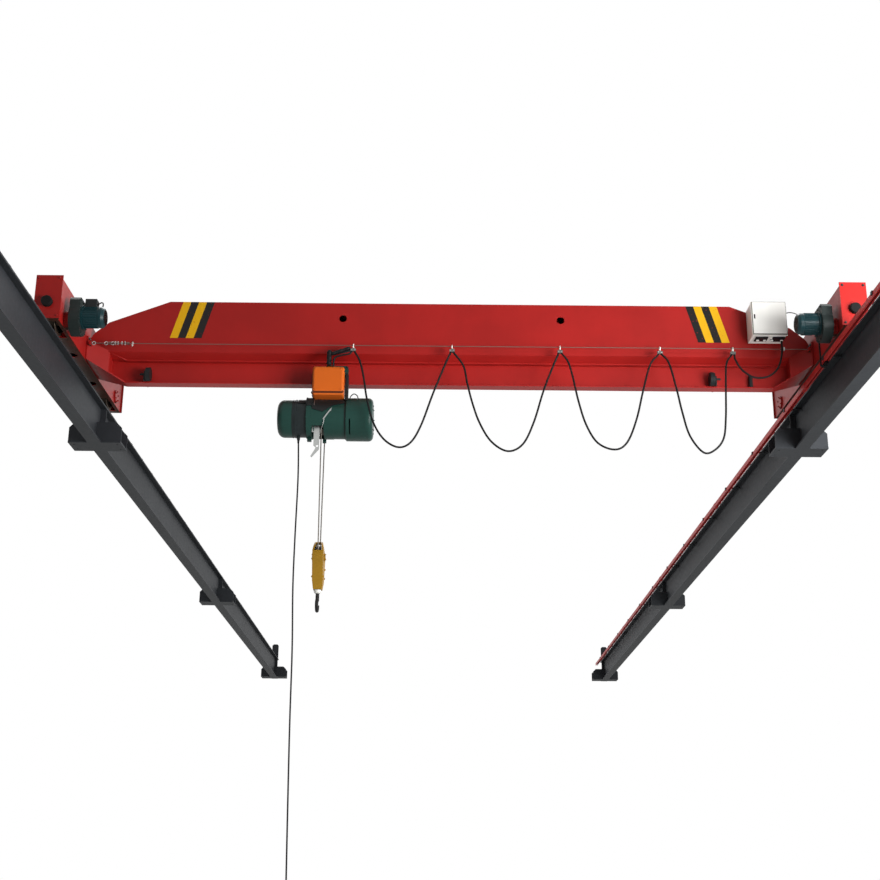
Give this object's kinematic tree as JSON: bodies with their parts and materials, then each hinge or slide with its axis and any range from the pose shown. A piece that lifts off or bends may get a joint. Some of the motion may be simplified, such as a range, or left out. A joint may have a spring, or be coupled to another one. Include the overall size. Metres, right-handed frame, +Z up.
{
  "type": "overhead bridge crane",
  "caption": "Overhead travelling crane with a single box-topped girder, wire-rope hoist, festoon cable and pendant on steel runway beams.",
  "frame": {"origin": "middle of the left runway beam's underside, level with the crane's middle at rest", "axes": "+X across the span to the right runway, +Y along the runway away from the picture's camera, +Z up"},
  "size_m": [8.06, 25.86, 6.0803],
  "materials": {
    "charcoal_steel": "painted steel, roughness about 0.55",
    "rail_steel": "steel, roughness about 0.45",
    "conductor_red": "plastic, roughness about 0.45",
    "crane_red": "painted steel, roughness about 0.42",
    "black_rubber": "rubber, roughness about 0.80",
    "gear_grey": "cast iron, painted, roughness about 0.50",
    "motor_teal": "cast iron, painted, roughness about 0.35",
    "panel_cream": "painted sheet steel, roughness about 0.40",
    "zinc_steel": "galvanised steel, roughness about 0.40",
    "white_plastic": "nylon, roughness about 0.45",
    "black_steel": "painted steel, roughness about 0.50",
    "wheel_steel": "forged steel, roughness about 0.40",
    "hoist_green": "painted steel, roughness about 0.40",
    "box_orange": "painted sheet steel, roughness about 0.40",
    "dark_steel": "steel, roughness about 0.50",
    "bare_steel": "steel, roughness about 0.40",
    "cable_black": "rubber, roughness about 0.60",
    "rope_steel": "steel wire rope, roughness about 0.50",
    "block_yellow": "painted steel, roughness about 0.40",
    "sheave_dark": "cast iron, roughness about 0.50",
    "hook_dark": "forged steel, roughness about 0.50"
  },
  "bodies": {
    "runway": {"runway_beam_left": "charcoal_steel", "runway_beam_right": "charcoal_steel", "crane_rails": "rail_steel", "rail_stops": "charcoal_steel", "duct_hangers": "black_steel", "conductor_rail": "conductor_red"},
    "bridge": {"girder_box": "crane_red", "girder_i_beam": "crane_red", "girder_end_left": "crane_red", "girder_end_right": "crane_red", "end_carriage_left": "crane_red", "end_carriage_right": "crane_red", "carriage_buffers": "black_rubber", "drive_gearboxes": "gear_grey", "drive_motors": "motor_teal", "control_panel": "panel_cream", "panel_brackets": "crane_red", "trolley_stops": "black_rubber", "festoon_wire": "zinc_steel", "wire_brackets": "crane_red", "festoon_end_clamp": "white_plastic", "current_collector": "black_steel", "panel_lead": "cable_black"},
    "wheel_front_left": {"wheel_front_left": "wheel_steel"},
    "wheel_rear_left": {"wheel_rear_left": "wheel_steel"},
    "wheel_front_right": {"wheel_front_right": "wheel_steel"},
    "wheel_rear_right": {"wheel_rear_right": "wheel_steel"},
    "trolley": {"trolley_side_plates": "black_steel", "trolley_wheels": "wheel_steel", "trolley_motor": "hoist_green", "suspension_frame": "black_steel", "hoist_motor": "hoist_green", "drum_housing": "hoist_green", "hoist_gearbox": "hoist_green", "hoist_electric_box": "box_orange", "tow_arm": "dark_steel", "tow_rings": "white_plastic", "rope_guide": "bare_steel", "rope_anchor": "bare_steel", "pendant_cable": "cable_black", "pendant_station": "box_orange", "trolley_lead": "cable_black"},
    "hoist_drum": {"hoist_drum": "bare_steel"},
    "carrier_1": {"festoon_carrier_1": "white_plastic", "festoon_loop_1": "cable_black"},
    "carrier_2": {"festoon_carrier_2": "white_plastic", "festoon_loop_2": "cable_black"},
    "carrier_3": {"festoon_carrier_3": "white_plastic", "festoon_loop_3": "cable_black", "festoon_loop_4": "cable_black"},
    "hook_block": {"hoist_ropes": "rope_steel", "hook_block": "block_yellow", "rope_sheave": "sheave_dark"},
    "hook": {"hook": "hook_dark", "hook_latch": "bare_steel"}
  },
  "joints": [
    {"name": "bridge_travel", "type": "slide", "parent": "runway", "child": "bridge", "axis": [0, 1, 0], "range_m": [-6.2, 16.5]},
    {"name": "wheel_turn_front_left", "type": "hinge", "parent": "bridge", "child": "wheel_front_left", "pos_m": [0, -1.05, 0.6253], "axis": [1, 0, 0], "continuous": true},
    {"name": "wheel_turn_rear_left", "type": "hinge", "parent": "bridge", "child": "wheel_rear_left", "pos_m": [0, 1.05, 0.6253], "axis": [1, 0, 0], "continuous": true},
    {"name": "wheel_turn_front_right", "type": "hinge", "parent": "bridge", "child": "wheel_front_right", "pos_m": [7.5, -1.05, 0.6253], "axis": [1, 0, 0], "continuous": true},
    {"name": "wheel_turn_rear_right", "type": "hinge", "parent": "bridge", "child": "wheel_rear_right", "pos_m": [7.5, 1.05, 0.6253], "axis": [1, 0, 0], "continuous": true},
    {"name": "trolley_travel", "type": "slide", "parent": "bridge", "child": "trolley", "axis": [1, 0, 0], "range_m": [-1.55, 3.45]},
    {"name": "carrier_1_slide", "type": "slide", "parent": "trolley", "child": "carrier_1", "axis": [1, 0, 0], "range_m": [-0.95, 0.45], "deforming": ["festoon_loop_1"]},
    {"name": "carrier_2_slide", "type": "slide", "parent": "carrier_1", "child": "carrier_2", "axis": [1, 0, 0], "range_m": [-1.02, 0.48], "deforming": ["festoon_loop_2"]},
    {"name": "carrier_3_slide", "type": "slide", "parent": "carrier_2", "child": "carrier_3", "axis": [1, 0, 0], "range_m": [-0.95, 0.45], "deforming": ["festoon_loop_3", "festoon_loop_4"]},
    {"name": "hook_lift", "type": "slide", "parent": "trolley", "child": "hook_block", "axis": [0, 0, 1], "range_m": [-4, 0.7], "deforming": ["hoist_ropes"]},
    {"name": "drum_turn", "type": "hinge", "parent": "trolley", "child": "hoist_drum", "pos_m": [2.5, 0, 0.022], "axis": [1, 0, 0], "continuous": true},
    {"name": "hook_swivel", "type": "hinge", "parent": "hook_block", "child": "hook", "pos_m": [2.486, 0, -1.8], "axis": [0, 0, 1], "continuous": true}
  ],
  "couplings": [
    {"joint": "wheel_turn_front_left", "follows": "bridge_travel", "rad_per_m": -7.4074},
    {"joint": "wheel_turn_rear_left", "follows": "bridge_travel", "rad_per_m": -7.4074},
    {"joint": "wheel_turn_front_right", "follows": "bridge_travel", "rad_per_m": -7.4074},
    {"joint": "wheel_turn_rear_right", "follows": "bridge_travel", "rad_per_m": -7.4074},
    {"joint": "carrier_1_slide", "follows": "trolley_travel", "ratio": -0.2601},
    {"joint": "carrier_2_slide", "follows": "trolley_travel", "ratio": -0.2844},
    {"joint": "carrier_3_slide", "follows": "trolley_travel", "ratio": -0.2633},
    {"joint": "drum_turn", "follows": "hook_lift", "rad_per_m": -15.267}
  ]
}
